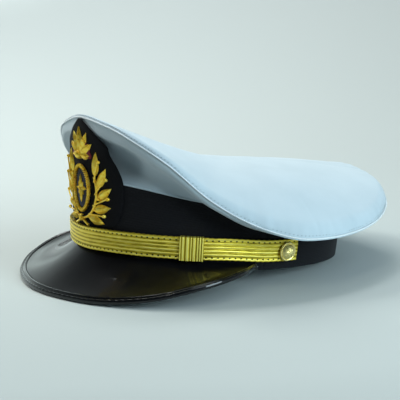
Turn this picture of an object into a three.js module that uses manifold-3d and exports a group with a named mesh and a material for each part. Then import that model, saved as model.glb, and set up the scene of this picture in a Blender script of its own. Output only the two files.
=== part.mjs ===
// A peaked cap: a black band, a white cloth crown that stands high at the front and droops at both sides,
// a patent leather peak with a bound edge, a gold lace chin strap and a gold badge on a black cloth patch.
// Millimetres, +Z up, the peak towards -Y and the wearer's left towards +X.
// The cap stands by itself on the peak's edge and the back of the band.
import * as THREE from "three";
import { mergeVertices } from "three/addons/utils/BufferGeometryUtils.js";
import Module from "manifold-3d";

const wasm = await Module();
wasm.setup();

// Driving dimensions

const GAP = 0.3;
const MERGE = 0.001;
const RING_STEPS = 64;

// The oval of the band's foot, measured on its outer face, for a 58 cm head
const OVAL = { halfLength: 103, halfWidth: 86 };

// Bearings run in degrees from the front (0) round the wearer's left (90) to the back (180)
const BAND = { thickness: 2.5, flare: 0.08 };
const BAND_TOP = [
  { bearing: 0, height: 57 },
  { bearing: 30, height: 54 },
  { bearing: 60, height: 46 },
  { bearing: 90, height: 39 },
  { bearing: 130, height: 37 },
  { bearing: 180, height: 40 },
];

// The crown: the seam is where the top panel meets the side wall. The tuck is the angle of the rolled strip
// under the seam, from straight down to straight in. The hollow is how far the wall below the strip dips in.
// Where the top is taut it runs nearly straight from its middle to the seam, and elsewhere it hangs over.
// The roll is the radius of its edge above the seam.
const CROWN = { thickness: 1.6, strip: 8, stripBulge: 1.4, slack: 0.35, drape: 3 };
const CROWN_MIDDLE = { back: 16.4, height: 69 };
const CROWN_SEAM = [
  { bearing: 0, reach: 9, height: 98.6, tuck: 4, bulge: 0, hollow: 0, taut: 1, roll: 2.5 },
  { bearing: 18, reach: 10, height: 94.2, tuck: 7, bulge: 0.1, hollow: 2.5, taut: 1, roll: 2.7 },
  { bearing: 30, reach: 15, height: 88, tuck: 14, bulge: 0.6, hollow: 6.5, taut: 0.9, roll: 3.5 },
  { bearing: 45, reach: 20.2, height: 74, tuck: 26, bulge: 0.8, hollow: 6.5, taut: 0.6, roll: 4.2 },
  { bearing: 60, reach: 20.6, height: 51, tuck: 50, bulge: 0.6, hollow: 3, taut: 0.25, roll: 5 },
  { bearing: 75, reach: 26.7, height: 35, tuck: 85, bulge: 0.1, hollow: 0, taut: 0.1, roll: 5.5 },
  { bearing: 90, reach: 35.3, height: 27.4, tuck: 90, bulge: 0, hollow: 0, taut: 0, roll: 6 },
  { bearing: 120, reach: 36.2, height: 33.2, tuck: 90, bulge: 0, hollow: 0, taut: 0.3, roll: 6.6 },
  { bearing: 150, reach: 34.5, height: 47.2, tuck: 84, bulge: 0.2, hollow: 1, taut: 0.35, roll: 7.6 },
  { bearing: 180, reach: 29.2, height: 55.8, tuck: 75, bulge: 0.4, hollow: 2, taut: 0.3, roll: 8.3 },
];
const WALL_SHARES = [0.3, 0.7];
const TOP_ROWS = [0, 0.2, 0.4, 0.6, 0.8, 0.92];
const ROLL_ANGLES = [0, 35, 65, 90];

// Shallow puckers across the back of the top panel, deepest some way in from the seam
const PUCKER_SWELL = 6;
const PUCKERS = [
  { bearing: 166, spread: 7, depth: 1.6 },
  { bearing: 184, spread: 7, depth: 2.2 },
  { bearing: 204, spread: 8, depth: 1.6 },
];

// The peak: its inner edge lies on the band, and its outer edge is the rim's. It sags a little between them.
const PEAK = { thickness: 2, end: 80, steps: 44, innerHeight: 7, innerEndHeight: 5.5, sag: 1.8 };
const PEAK_EDGE = [
  { bearing: 0, reach: 41, height: -21.4 },
  { bearing: 15, reach: 41, height: -21 },
  { bearing: 30, reach: 43, height: -18.8 },
  { bearing: 45, reach: 44, height: -12.8 },
  { bearing: 60, reach: 38, height: -3 },
  { bearing: 72, reach: 22, height: 2.6 },
  { bearing: 80, reach: 6.5, height: 3 },
];
const PEAK_SHARES = [1, 0.7, 0.35, 0];

// The rim's section: shares of its width, and heights about the middle of the plate's thickness
const RIM = { width: 6, endWidth: 4, taper: 4, underside: -2.4, groove: 0, ridge: 1, edge: -1 };
const RIM_OUTLINE = [
  { along: 0, above: RIM.underside },
  { along: 0, above: RIM.groove },
  { along: 0.22, above: RIM.ridge },
  { along: 0.44, above: RIM.groove },
  { along: 0.68, above: RIM.ridge },
  { along: 0.92, above: RIM.groove },
  { along: 1, above: RIM.edge },
  { along: 0.85, above: RIM.underside },
];

// The chin strap: two layers that overlap across the front, held by a ribbed keeper at each side
const STRAP = { width: 15.4, height: 15.6, thickness: 1, rib: 0.4, ribHalfWidth: 1, step: 6 };
const STRAP_RIBS = [-3.9, -1.3, 1.3, 3.9];
const STRAP_LAYERS = { inner: 1.5, outer: 3.2 };
const STRAP_END = 98.5;
const STRAP_TUCK = { from: 62, to: 78 };
const KEEPER = { bearing: 54.2, halfAngle: 4.6, wall: 0.8, steps: 4, clear: 2 };
const KEEPER_RIBS = [
  { at: 0.04, half: 0.04, rise: 0.4 },
  { at: 0.16, half: 0.08, rise: 0.7 },
  { at: 0.34, half: 0.1, rise: 0.8 },
  { at: 0.48, half: 0.04, rise: 0.4 },
  { at: 0.61, half: 0.09, rise: 0.8 },
  { at: 0.75, half: 0.05, rise: 0.5 },
  { at: 0.85, half: 0.05, rise: 0.5 },
  { at: 0.95, half: 0.05, rise: 0.6 },
];

// A domed side button with a raised edge: its profile from the back to the top of the dome
const BUTTON = { bearing: 94, drop: 1.6, radius: 6.5, sides: 20 };
const BUTTON_PROFILE = [
  { radiusShare: 0, height: 0 },
  { radiusShare: 0.88, height: 0 },
  { radiusShare: 1, height: 0.6 },
  { radiusShare: 1, height: 1.3 },
  { radiusShare: 0.9, height: 1.7 },
  { radiusShare: 0.8, height: 1.4 },
  { radiusShare: 0.6, height: 2.6 },
  { radiusShare: 0.3, height: 3.3 },
  { radiusShare: 0, height: 3.5 },
];

// The badge, laid out flat as across, up and out from the cap's front, then bent round it. Above the band the
// patch leans forwards, to stay in front of the crown's wall.
const PATCH = { thickness: 1.2, standoff: 0.8, lean: 0.04, columns: 8 };
const PATCH_ROWS = [
  { height: 25, halfWidth: 30 },
  { height: 30, halfWidth: 36 },
  { height: 42, halfWidth: 39.5 },
  { height: 55, halfWidth: 40 },
  { height: 60.5, halfWidth: 39 },
  { height: 67.5, halfWidth: 35.5 },
  { height: 75, halfWidth: 30 },
  { height: 83, halfWidth: 28.5 },
  { height: 88, halfWidth: 26 },
  { height: 91, halfWidth: 19.5 },
  { height: 94.5, halfWidth: 11 },
  { height: 98, halfWidth: 2 },
];
const MEDALLION = { height: 49, halfWidth: 8.6, halfHeight: 14, thickness: 1, dish: 0.6, sides: 32 };
const CORD = { radius: 1.5, lobe: 0.35, lobes: 3, twists: 9, steps: 60, sides: 6 };
const STAR = { points: 8, long: 7.2, short: 4.6, waist: 1.8, stretch: 1.4 };
const STAR_LAYERS = [
  { lift: 0, scale: 1 },
  { lift: 0.3, scale: 1 },
  { lift: 1.2, scale: 0.08 },
];
const PALMETTE = { height: 72.5, heart: 3.4, sides: 12 };
const PALMETTE_HEART = [
  { lift: 0, scale: 1 },
  { lift: 1.6, scale: 1 },
  { lift: 2.7, scale: 0.75 },
  { lift: 3.2, scale: 0.35 },
];
const PALMETTE_PETALS = [
  { turn: 0, length: 20, width: 7.6 },
  { turn: 30, length: 18.5, width: 7.4 },
  { turn: 60, length: 17, width: 7.2 },
  { turn: 90, length: 12.5, width: 6.4 },
];
const SPRAY = { from: -82, to: 28, firstLeaf: -66, leaves: 5, halfWidth: 18.5, halfHeight: 21 };
const STEM = { radius: 0.9, sides: 6, steps: 10 };
const LEAF = { length: 17, width: 8.6, rise: 2.2, sections: 7, splay: 36, tip: 0.06, belly: 0.8, round: 0.6 };

// Colours from the photo
const FINISH = {
  whiteCloth: { color: 0xdfe6ea, roughness: 0.85, metalness: 0 },
  blackCloth: { color: 0x101014, roughness: 0.9, metalness: 0 },
  patent: { color: 0x0b0b0d, roughness: 0.08, metalness: 0 },
  goldLace: { color: 0xa58f36, roughness: 0.5, metalness: 0.6 },
  goldWire: { color: 0xc2aa3c, roughness: 0.4, metalness: 0.7 },
  navyCloth: { color: 0x1b1f33, roughness: 0.9, metalness: 0 },
  gilt: { color: 0xd8c878, roughness: 0.25, metalness: 1 },
};

// Solids

// A closed solid from corner points and triangles, with shared corners merged and its faces turned outwards
function solid(points, triangles) {
  const loose = new THREE.BufferGeometry().setFromPoints(points);
  loose.setIndex(triangles.flat());
  const merged = mergeVertices(loose, MERGE);
  const corner = (index) => new THREE.Vector3().fromBufferAttribute(merged.attributes.position, index);
  const kept = [];
  let volume = 0;
  for (let i = 0; i < merged.index.count; i += 3) {
    const [a, b, c] = merged.index.array.slice(i, i + 3);
    if (a !== b && b !== c && c !== a) {
      kept.push([a, b, c]);
      volume += corner(a).dot(corner(b).cross(corner(c)));
    }
  }
  merged.setIndex(kept.flatMap(([a, b, c]) => (volume > 0 ? [a, b, c] : [a, c, b])));
  return merged;
}

// A solid through a run of sections, each a loop of flat corners that place(corner, step) puts in space.
// A closed run joins its last section to its first, and an open one has a fan about the middle of each end.
function loft(sections, place, closed) {
  const size = sections[0].length;
  const points = sections.flatMap((section, step) => section.map((corner) => place(corner, step)));
  const triangles = [];
  const runs = closed ? sections.length : sections.length - 1;
  for (let step = 0; step < runs; step += 1) {
    const here = step * size;
    const there = ((step + 1) % sections.length) * size;
    for (let i = 0; i < size; i += 1) {
      const j = (i + 1) % size;
      triangles.push([here + i, here + j, there + j], [here + i, there + j, there + i]);
    }
  }
  for (const end of closed ? [] : [0, sections.length - 1]) {
    const middle = sections[end].reduce((sum, corner) => sum.add(corner), new THREE.Vector2());
    const hub = points.push(place(middle.divideScalar(size), end)) - 1;
    for (let i = 0; i < size; i += 1) {
      const rim = [end * size + i, end * size + ((i + 1) % size)];
      triangles.push(end === 0 ? [hub, rim[1], rim[0]] : [hub, rim[0], rim[1]]);
    }
  }
  return solid(points, triangles);
}

// The section of a sheet: its line, then the same line moved to its left by the sheet's thickness
function sheet(line, thickness) {
  const moved = line.map((point, i) => {
    const before = line[Math.max(i - 1, 0)];
    const after = line[Math.min(i + 1, line.length - 1)];
    const along = after.clone().sub(before).normalize();
    return new THREE.Vector2(point.x - along.y * thickness, point.y + along.x * thickness);
  });
  return [...line, ...moved.reverse()];
}

function manifoldOf(geometry) {
  const vertProperties = new Float32Array(geometry.attributes.position.array);
  const triVerts = new Uint32Array(geometry.index.array);
  return new wasm.Manifold(new wasm.Mesh({ numProp: 3, vertProperties, triVerts }));
}

function geometryOf(manifold) {
  const mesh = manifold.getMesh();
  const geometry = new THREE.BufferGeometry();
  geometry.setAttribute("position", new THREE.Float32BufferAttribute(mesh.vertProperties, 3));
  geometry.setIndex([...mesh.triVerts]);
  return geometry;
}

function join(pieces) {
  return geometryOf(pieces.map(manifoldOf).reduce((whole, piece) => whole.add(piece)));
}

function cut(piece, tool) {
  return geometryOf(manifoldOf(piece).subtract(manifoldOf(tool)));
}

// Places on the cap

const radians = THREE.MathUtils.degToRad;

const point2 = (x, y) => new THREE.Vector2(x, y);

// Evenly spaced values from one end to the other, both included
function spread(from, to, steps) {
  return Array.from({ length: steps + 1 }, (_, i) => from + ((to - from) * i) / steps);
}

const RING = spread(-180, 180 - 360 / RING_STEPS, RING_STEPS - 1);

// A table's column at a bearing, the same on both sides: a smooth curve through the rows, level at both ends
function columnAt(table, column, bearing) {
  const at = Math.min(Math.abs(bearing), table[table.length - 1].bearing);
  const right = Math.max(1, table.findIndex((row) => row.bearing >= at));
  const slope = (i) => {
    if (i === 0 || i === table.length - 1) return 0;
    return (table[i + 1][column] - table[i - 1][column]) / (table[i + 1].bearing - table[i - 1].bearing);
  };
  const width = table[right].bearing - table[right - 1].bearing;
  const t = (at - table[right - 1].bearing) / width;
  const start = table[right - 1][column] * (1 + 2 * t) + slope(right - 1) * width * t;
  const end = table[right][column] * (3 - 2 * t) - slope(right) * width * (1 - t);
  return start * (1 - t) ** 2 + end * t * t;
}

// A point from its bearing, its reach out from the band's foot and its height above that foot
function capPoint(bearing, reach, height) {
  const angle = radians(bearing);
  const x = (OVAL.halfWidth + reach) * Math.sin(angle);
  const y = -(OVAL.halfLength + reach) * Math.cos(angle);
  return new THREE.Vector3(x, y, height);
}

// The reach of the band's outer face at a height
const bandFace = (height) => BAND.flare * height;

// A point on the cap's front: across to the wearer's left, up, and out from the band's face
function frontPoint(across, up, out) {
  const lean = PATCH.lean * Math.max(0, up - BAND_TOP[0].height);
  const reach = bandFace(up) + PATCH.standoff + lean + out;
  const bearing = THREE.MathUtils.radToDeg(across / (OVAL.halfWidth + reach));
  return capPoint(bearing, reach, up);
}

function bendRoundFront(geometry) {
  const position = geometry.attributes.position;
  for (let i = 0; i < position.count; i += 1) {
    const bent = frontPoint(position.getX(i), position.getY(i), position.getZ(i));
    position.setXYZ(i, bent.x, bent.y, bent.z);
  }
  return geometry;
}

// Band and crown

function bandGeometry() {
  const sections = RING.map((bearing) => {
    const top = columnAt(BAND_TOP, "height", bearing);
    return sheet([point2(0, 0), point2(bandFace(top), top)], BAND.thickness);
  });
  const level = sections.map(([foot, top, topIn, footIn]) => {
    return [foot, top, point2(topIn.x, top.y), point2(footIn.x, foot.y)];
  });
  return loft(level, (corner, step) => capPoint(RING[step], corner.x, corner.y), true);
}

// The side wall's line at a bearing, from the band's top edge by the fold to the seam
function sideLine(bearing) {
  const value = (column) => columnAt(CROWN_SEAM, column, bearing);
  const bandTop = columnAt(BAND_TOP, "height", bearing);
  const foot = point2(bandFace(bandTop), bandTop + GAP);
  const tuck = radians(value("tuck"));
  const seam = point2(value("reach"), value("height") - CROWN.thickness * Math.sin(tuck));
  const down = point2(-Math.sin(tuck), -Math.cos(tuck));
  const out = point2(Math.cos(tuck), -Math.sin(tuck));
  const fold = seam.clone().addScaledVector(down, CROWN.strip);
  const stripMiddle = seam.clone().addScaledVector(down, CROWN.strip / 2);
  stripMiddle.addScaledVector(out, CROWN.stripBulge * value("bulge"));
  const wallAlong = fold.clone().sub(foot).normalize();
  const inwards = point2(-wallAlong.y, wallAlong.x);
  const wall = WALL_SHARES.map((share) => {
    const dip = 4 * share * (1 - share) * value("hollow");
    return foot.clone().lerp(fold, share).addScaledVector(inwards, dip);
  });
  return [foot, ...wall, fold, stripMiddle, seam];
}

function crownSideGeometry() {
  const sections = RING.map((bearing) => sheet(sideLine(bearing), CROWN.thickness));
  for (const section of sections) {
    const footInside = section[section.length - 1];
    footInside.y = Math.max(footInside.y, section[0].y);
  }
  return loft(sections, (corner, step) => capPoint(RING[step], corner.x, corner.y), true);
}

// How far the puckers pull the top down at a bearing
function puckerAt(bearing) {
  const round = (bearing + 360) % 360;
  const pulls = PUCKERS.map((pucker) => {
    return pucker.depth * Math.exp(-(((round - pucker.bearing) / pucker.spread) ** 2));
  });
  return pulls.reduce((sum, pull) => sum + pull, 0);
}

// How far the top has come from its middle's height to its edge's at a share of the way out
function topFall(share, taut) {
  const rise = (at) => Math.hypot(at, CROWN.slack) - CROWN.slack;
  return (taut * rise(share)) / rise(1) + (1 - taut) * share ** CROWN.drape;
}

function crownTopGeometry() {
  const middle = new THREE.Vector3(0, CROWN_MIDDLE.back, CROWN_MIDDLE.height);
  const spokes = RING.map((bearing) => {
    const reach = columnAt(CROWN_SEAM, "reach", bearing);
    const spoke = capPoint(bearing, reach, 0).sub(middle).setZ(0);
    return { bearing, length: spoke.length(), along: spoke.normalize() };
  });
  const sections = spokes.map(({ bearing, length }) => {
    const seam = columnAt(CROWN_SEAM, "height", bearing) + GAP;
    const taut = columnAt(CROWN_SEAM, "taut", bearing);
    const roll = columnAt(CROWN_SEAM, "roll", bearing);
    const height = (share) => {
      const pucker = puckerAt(bearing) * PUCKER_SWELL * share ** CROWN.drape * (1 - share);
      return middle.z + (seam + roll - middle.z) * topFall(share, taut) - pucker;
    };
    const flat = TOP_ROWS.map((share) => point2(share * length, height(share)));
    const rolled = ROLL_ANGLES.map((angle) => {
      const distance = length - roll * (1 - Math.sin(radians(angle)));
      const drop = roll * (1 - Math.cos(radians(angle)));
      return point2(distance, height(distance / length) - drop);
    });
    const section = sheet([...flat, ...rolled].reverse(), CROWN.thickness);
    const half = section.length / 2;
    section[half] = point2(0, middle.z - CROWN.thickness);
    section[0] = point2(length, seam);
    section[section.length - 1] = point2(length - CROWN.thickness, seam);
    return section;
  });
  const place = (corner, step) => {
    const spot = middle.clone().addScaledVector(spokes[step].along, corner.x);
    return spot.setZ(corner.y);
  };
  return loft(sections, place, true);
}

// Peak

const PEAK_BEARINGS = spread(-PEAK.end, PEAK.end, PEAK.steps);

// The peak's section at a bearing: where its plate starts on the band, its edge, and the rim's width there
function peakAt(bearing) {
  const share = Math.abs(bearing) / PEAK.end;
  const innerHeight = THREE.MathUtils.lerp(PEAK.innerHeight, PEAK.innerEndHeight, share);
  const inner = point2(bandFace(innerHeight) + GAP, innerHeight);
  const edge = point2(columnAt(PEAK_EDGE, "reach", bearing), columnAt(PEAK_EDGE, "height", bearing));
  const along = edge.clone().sub(inner).normalize();
  const rimWidth = THREE.MathUtils.lerp(RIM.width, RIM.endWidth, share ** RIM.taper);
  const outer = edge.clone().addScaledVector(along, -rimWidth - GAP);
  return { inner, outer, edge, along, rimWidth, above: point2(-along.y, along.x) };
}

function peakGeometry() {
  const sections = PEAK_BEARINGS.map((bearing) => {
    const { inner, outer, above } = peakAt(bearing);
    const width = inner.distanceTo(outer);
    const line = PEAK_SHARES.map((share) => {
      const sag = (4 * share * (1 - share) * PEAK.sag * width) / (PEAK_EDGE[0].reach - RIM.width);
      return inner.clone().lerp(outer, share).addScaledVector(above, -sag);
    });
    const section = sheet(line, PEAK.thickness);
    section[line.length] = point2(inner.x, inner.y - PEAK.thickness);
    section[section.length - 1] = outer.clone().addScaledVector(above, -PEAK.thickness);
    return section;
  });
  return loft(sections, (corner, step) => capPoint(PEAK_BEARINGS[step], corner.x, corner.y), false);
}

function peakRimGeometry() {
  const sections = PEAK_BEARINGS.map((bearing) => {
    const { edge, along, rimWidth, above } = peakAt(bearing);
    return RIM_OUTLINE.map((corner) => {
      const spot = edge.clone().addScaledVector(along, (corner.along - 1) * rimWidth);
      return spot.addScaledVector(above, corner.above);
    });
  });
  return loft(sections, (corner, step) => capPoint(PEAK_BEARINGS[step], corner.x, corner.y), false);
}

// Chin strap

// The strap's section: a flat back, and a face with raised ribs
function strapSection(standoff) {
  const half = STRAP.width / 2;
  const face = [point2(STRAP.thickness, -half)];
  for (const rib of STRAP_RIBS) {
    face.push(point2(STRAP.thickness, rib - STRAP.ribHalfWidth));
    face.push(point2(STRAP.thickness + STRAP.rib, rib));
    face.push(point2(STRAP.thickness, rib + STRAP.ribHalfWidth));
  }
  face.push(point2(STRAP.thickness, half));
  const loop = [...face, point2(0, half), point2(0, -half)];
  return loop.map((corner) => {
    const height = STRAP.height + corner.y;
    return point2(bandFace(height) + standoff + corner.x, height);
  });
}

function strapGeometry(from, to, standoffAt) {
  const bearings = spread(from, to, Math.round((to - from) / STRAP.step));
  const sections = bearings.map((bearing) => strapSection(standoffAt(bearing)));
  return loft(sections, (corner, step) => capPoint(bearings[step], corner.x, corner.y), false);
}

const KEEPER_END = KEEPER.bearing + KEEPER.halfAngle + KEEPER.clear;

// The inner layer runs from the right button to the left keeper, close to the band
const strapInnerGeometry = () => strapGeometry(-STRAP_END, KEEPER_END, () => STRAP_LAYERS.inner);

// The outer layer runs from the left button, close to the band, and over the inner one to the right keeper
function strapOuterGeometry() {
  return strapGeometry(-KEEPER_END, STRAP_END, (bearing) => {
    const lowered = THREE.MathUtils.smoothstep(bearing, STRAP_TUCK.from, STRAP_TUCK.to);
    return THREE.MathUtils.lerp(STRAP_LAYERS.outer, STRAP_LAYERS.inner, lowered);
  });
}

// A block that follows the band: a rectangle swept over some bearings, each with its own reach outwards
function bandBlock(bearings, from, outs, halfHeight) {
  const sections = outs.map((out) => {
    const low = STRAP.height - halfHeight;
    const high = STRAP.height + halfHeight;
    const corners = [point2(from, low), point2(out, low), point2(out, high), point2(from, high)];
    return corners.map((corner) => point2(bandFace(corner.y) + corner.x, corner.y));
  });
  return loft(sections, (corner, step) => capPoint(bearings[step], corner.x, corner.y), false);
}

// A loop round both layers of the strap, with ribs of several widths across it
function keeperGeometry(side) {
  const face = STRAP_LAYERS.outer + STRAP.thickness + STRAP.rib + GAP;
  const back = STRAP_LAYERS.inner - GAP;
  const half = STRAP.width / 2 + GAP;
  const middle = side * KEEPER.bearing;
  const bearingAt = (share) => middle + side * KEEPER.halfAngle * (2 * share - 1);
  const crests = KEEPER_RIBS.map(({ at, rise }) => ({ bearing: bearingAt(at), rise }));
  const valleys = KEEPER_RIBS.map(({ at, half: width }) => ({ bearing: bearingAt(at + width), rise: 0 }));
  const steps = [{ bearing: bearingAt(0), rise: 0 }, ...crests, ...valleys];
  steps.sort((a, b) => a.bearing - b.bearing);
  const bearings = steps.map(({ bearing }) => bearing);
  const outs = steps.map(({ rise }) => face + KEEPER.wall + rise);
  const block = bandBlock(bearings, back - KEEPER.wall, outs, half + KEEPER.wall);
  const reach = KEEPER.halfAngle + KEEPER.clear;
  const through = spread(middle - reach, middle + reach, KEEPER.steps);
  const opening = bandBlock(through, back, through.map(() => face), half);
  return cut(block, opening);
}

function buttonGeometry() {
  const profile = BUTTON_PROFILE.map((row) => point2(BUTTON.radius * row.radiusShare, row.height));
  const turned = new THREE.LatheGeometry(profile, BUTTON.sides);
  const position = turned.attributes.position;
  const corners = Array.from({ length: position.count }, (_, i) => {
    return new THREE.Vector3().fromBufferAttribute(position, i);
  });
  return solid(corners, [...turned.index.array]);
}

// Badge

// The patch follows the cap's front, widest at the band and pointed at the seam
function patchGeometry() {
  const columns = spread(-1, 1, PATCH.columns);
  const sections = PATCH_ROWS.map((row) => {
    const front = columns.map((share) => point2(share * row.halfWidth, PATCH.thickness));
    const back = columns.map((share) => point2(-share * row.halfWidth, 0));
    return [...front, ...back];
  });
  return loft(sections, (corner, step) => frontPoint(corner.x, PATCH_ROWS[step].height, corner.y), false);
}

const BADGE_BACK = PATCH.thickness + GAP;

function ovalLoop(halfWidth, halfHeight, sides) {
  return spread(0, 360 - 360 / sides, sides - 1).map((angle) => {
    return point2(halfWidth * Math.cos(radians(angle)), halfHeight * Math.sin(radians(angle)));
  });
}

// A raised form from loops stacked outwards by their lifts, about a point up the cap's front
function stacked(loops, lifts, height) {
  const place = (corner, step) => new THREE.Vector3(corner.x, height + corner.y, BADGE_BACK + lifts[step]);
  return loft(loops, place, false);
}

function medallionGeometry() {
  const { halfWidth, halfHeight, thickness, dish, sides } = MEDALLION;
  const loops = [
    ovalLoop(halfWidth, halfHeight, sides),
    ovalLoop(halfWidth, halfHeight, sides),
    ovalLoop(halfWidth - dish, halfHeight - dish, sides),
  ];
  return bendRoundFront(stacked(loops, [0, thickness - dish, thickness], MEDALLION.height));
}

// A twisted cord laid round the medallion
function cordRingGeometry() {
  const turns = spread(0, 360 - 360 / CORD.steps, CORD.steps - 1);
  const centre = CORD.radius + CORD.lobe + GAP;
  const sections = turns.map((turn) => {
    return spread(0, 360 - 360 / CORD.sides, CORD.sides - 1).map((angle) => {
      const lobe = CORD.lobe * Math.cos(radians(CORD.lobes * angle + CORD.twists * turn));
      const radius = CORD.radius + lobe;
      return point2(radius * Math.cos(radians(angle)), radius * Math.sin(radians(angle)));
    });
  });
  const place = (corner, step) => {
    const angle = radians(turns[step]);
    const across = (MEDALLION.halfWidth + centre + corner.x) * Math.cos(angle);
    const up = MEDALLION.height + (MEDALLION.halfHeight + centre + corner.x) * Math.sin(angle);
    return new THREE.Vector3(across, up, BADGE_BACK + CORD.radius + CORD.lobe + corner.y);
  };
  return bendRoundFront(loft(sections, place, true));
}

// A star with long and short points on the medallion's face
function starGeometry() {
  const loop = spread(0, STAR.points * 2 - 1, STAR.points * 2 - 1).map((i) => {
    const angle = radians((360 * i) / (STAR.points * 2));
    const tip = i % 4 === 0 ? STAR.long : STAR.short;
    const radius = i % 2 === 0 ? tip : STAR.waist;
    return point2(radius * Math.cos(angle), STAR.stretch * radius * Math.sin(angle));
  });
  const loops = STAR_LAYERS.map(({ scale }) => loop.map((corner) => corner.clone().multiplyScalar(scale)));
  const lifts = STAR_LAYERS.map(({ lift }) => MEDALLION.thickness + GAP + lift);
  return bendRoundFront(stacked(loops, lifts, MEDALLION.height));
}

// A pointed leaf with a ridge, from its base along an angle from straight across
function leafSolid(base, angle, length, width, rise) {
  const along = point2(Math.cos(radians(angle)), Math.sin(radians(angle)));
  const across = point2(-along.y, along.x);
  const shares = spread(0, 1, LEAF.sections);
  const sections = shares.map((share) => {
    const swell = Math.max(LEAF.tip, Math.sin(Math.PI * share ** LEAF.belly));
    const half = (width * swell) / 2;
    return [point2(-half, 0), point2(half, 0), point2(0, rise * swell ** LEAF.round)];
  });
  const place = (corner, step) => {
    const spot = base.clone().addScaledVector(along, length * shares[step]);
    spot.addScaledVector(across, corner.x);
    return new THREE.Vector3(spot.x, spot.y, BADGE_BACK + corner.y);
  };
  return loft(sections, place, false);
}

// A fan of petals above the medallion, rising from a round heart
function palmetteGeometry() {
  const base = point2(0, PALMETTE.height);
  const petals = PALMETTE_PETALS.flatMap(({ turn, length, width }) => {
    const sides = turn === 0 ? [1] : [1, -1];
    return sides.map((side) => leafSolid(base, 90 + side * turn, length, width, LEAF.rise));
  });
  const loops = PALMETTE_HEART.map(({ scale }) => {
    const radius = PALMETTE.heart * scale;
    return ovalLoop(radius, radius, PALMETTE.sides);
  });
  const lifts = PALMETTE_HEART.map(({ lift }) => lift);
  return bendRoundFront(join([...petals, stacked(loops, lifts, PALMETTE.height)]));
}

// A spray of leaves along a stem that curves round one side of the medallion
function sprayGeometry(side) {
  const stemPoint = (turn) => {
    const across = side * SPRAY.halfWidth * Math.cos(radians(turn));
    return point2(across, MEDALLION.height + SPRAY.halfHeight * Math.sin(radians(turn)));
  };
  const stemTurns = spread(SPRAY.from, SPRAY.to, STEM.steps);
  const stemSections = stemTurns.map(() => ovalLoop(STEM.radius, STEM.radius, STEM.sides));
  const stemPlace = (corner, step) => {
    const angle = radians(stemTurns[step]);
    const outwards = point2(side * Math.cos(angle), Math.sin(angle));
    const spot = stemPoint(stemTurns[step]).addScaledVector(outwards, corner.x);
    return new THREE.Vector3(spot.x, spot.y, BADGE_BACK + STEM.radius + corner.y);
  };
  const leaves = spread(SPRAY.firstLeaf, SPRAY.to, SPRAY.leaves - 1).map((turn) => {
    const heading = 90 - side * (LEAF.splay - turn);
    return leafSolid(stemPoint(turn), heading, LEAF.length, LEAF.width, LEAF.rise);
  });
  return bendRoundFront(join([loft(stemSections, stemPlace, false), ...leaves]));
}

// Assembly

function mesh(name, geometry, finish) {
  const piece = new THREE.Mesh(geometry, new THREE.MeshStandardMaterial(finish));
  piece.name = name;
  return piece;
}

// A button stands on the strap's face and looks straight out from the band
function buttonMesh(name, side) {
  const piece = mesh(name, buttonGeometry(), FINISH.gilt);
  const reach = bandFace(STRAP.height) + STRAP_LAYERS.inner + STRAP.thickness + STRAP.rib + GAP;
  piece.position.copy(capPoint(side * BUTTON.bearing, reach, STRAP.height - BUTTON.drop));
  const angle = radians(side * BUTTON.bearing);
  const outX = Math.sin(angle) / OVAL.halfWidth;
  const outY = -Math.cos(angle) / OVAL.halfLength;
  const out = new THREE.Vector3(outX, outY, 0).normalize().setZ(-BAND.flare).normalize();
  piece.quaternion.setFromUnitVectors(new THREE.Vector3(0, 1, 0), out);
  return piece;
}

const cap = new THREE.Group();
cap.add(
  mesh("band", bandGeometry(), FINISH.blackCloth),
  mesh("crown_side", crownSideGeometry(), FINISH.whiteCloth),
  mesh("crown_top", crownTopGeometry(), FINISH.whiteCloth),
  mesh("peak", peakGeometry(), FINISH.patent),
  mesh("peak_rim", peakRimGeometry(), FINISH.patent),
  mesh("strap_inner", strapInnerGeometry(), FINISH.goldLace),
  mesh("strap_outer", strapOuterGeometry(), FINISH.goldLace),
  mesh("keeper_left", keeperGeometry(1), FINISH.goldLace),
  mesh("keeper_right", keeperGeometry(-1), FINISH.goldLace),
  buttonMesh("button_left", 1),
  buttonMesh("button_right", -1),
  mesh("badge_patch", patchGeometry(), FINISH.blackCloth),
  mesh("badge_medallion", medallionGeometry(), FINISH.navyCloth),
  mesh("badge_ring", cordRingGeometry(), FINISH.goldWire),
  mesh("badge_star", starGeometry(), FINISH.goldWire),
  mesh("badge_palmette", palmetteGeometry(), FINISH.goldWire),
  mesh("badge_spray_left", sprayGeometry(1), FINISH.goldWire),
  mesh("badge_spray_right", sprayGeometry(-1), FINISH.goldWire),
);

// The cap leans back until the peak's edge and the back of the band both touch the surface
const rim = cap.getObjectByName("peak_rim").geometry.attributes.position;
let lean = 0;
for (let i = 0; i < rim.count; i += 1) {
  lean = Math.max(lean, Math.atan2(-rim.getZ(i), OVAL.halfLength - rim.getY(i)));
}
cap.rotation.x = -lean;

// The origin is the middle of the footprint's box, on the surface
const box = new THREE.Box3().setFromObject(cap, true);
const centre = box.getCenter(new THREE.Vector3());
cap.position.set(-centre.x, -centre.y, -box.min.z);

const peakedCap = new THREE.Group();
peakedCap.add(cap);

export default peakedCap;
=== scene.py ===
"""Looks of a peaked cap: white cloth crown, ribbed black band, patent peak, gold lace strap and gold badge."""

import math

import bpy
import numpy as np
from mathutils import Matrix, Vector

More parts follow.
